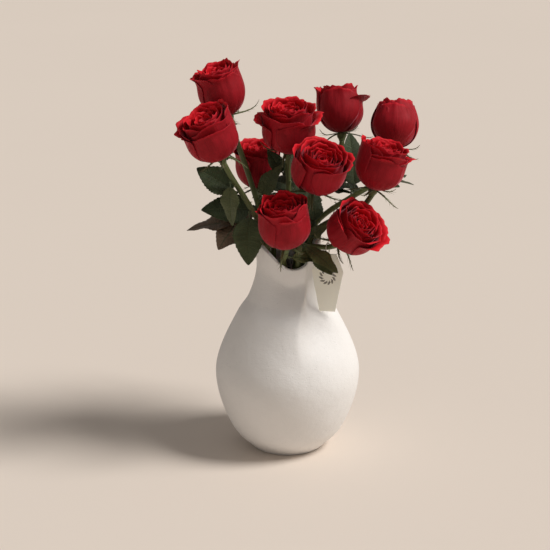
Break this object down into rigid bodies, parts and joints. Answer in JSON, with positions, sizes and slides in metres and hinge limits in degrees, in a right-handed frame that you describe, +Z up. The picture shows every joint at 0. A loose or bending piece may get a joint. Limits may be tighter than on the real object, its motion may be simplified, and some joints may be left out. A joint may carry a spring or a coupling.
{
  "type": "roses in a vase",
  "caption": "Cut red roses with their leaves standing in a pinched, narrow-necked stoneware vase, with a blank card tag hung from one stem.",
  "frame": {"origin": "centre of the vase's flat foot, on the surface it stands on", "axes": "+Z up through the vase, -Y towards the front, where the lip dips, +X to the right seen from the front"},
  "size_m": [0.2582, 0.1974, 0.4221],
  "materials": {
    "stoneware": "matt, finely pitted off-white",
    "petal": "velvety petals",
    "stem": "smooth green stem",
    "sepal": "soft green sepals",
    "leaf": "satin dark leaves",
    "card": "matt cream card",
    "twine": "spun twine"
  },
  "bodies": {
    "root": {"rose_01_bloom": "petal", "rose_01_calyx": "sepal", "rose_01_leaf_1": "leaf", "rose_01_leaf_2": "leaf", "rose_01_leaf_3": "leaf", "rose_01_stem": "stem", "rose_02_bloom": "petal", "rose_02_calyx": "sepal", "rose_02_leaf_1": "leaf", "rose_02_leaf_2": "leaf", "rose_02_stem": "stem", "rose_03_bloom": "petal", "rose_03_calyx": "sepal", "rose_03_leaf_1": "leaf", "rose_03_leaf_2": "leaf", "rose_03_stem": "stem", "rose_04_bloom": "petal", "rose_04_calyx": "sepal", "rose_04_leaf_1": "leaf", "rose_04_leaf_2": "leaf", "rose_04_leaf_3": "leaf", "rose_04_stem": "stem", "rose_05_bloom": "petal", "rose_05_calyx": "sepal", "rose_05_leaf_1": "leaf", "rose_05_leaf_2": "leaf", "rose_05_leaf_3": "leaf", "rose_05_stem": "stem", "rose_06_bloom": "petal", "rose_06_calyx": "sepal", "rose_06_stem": "stem", "rose_07_bloom": "petal", "rose_07_calyx": "sepal", "rose_07_leaf_1": "leaf", "rose_07_stem": "stem", "rose_08_bloom": "petal", "rose_08_calyx": "sepal", "rose_08_leaf_1": "leaf", "rose_08_leaf_2": "leaf", "rose_08_leaf_3": "leaf", "rose_08_stem": "stem", "rose_09_bloom": "petal", "rose_09_calyx": "sepal", "rose_09_leaf_1": "leaf", "rose_09_stem": "stem", "rose_10_bloom": "petal", "rose_10_calyx": "sepal", "rose_10_leaf_1": "leaf", "rose_10_stem": "stem", "tag": "card", "tag_twine": "twine", "vase": "stoneware"}
  },
  "joints": []
}
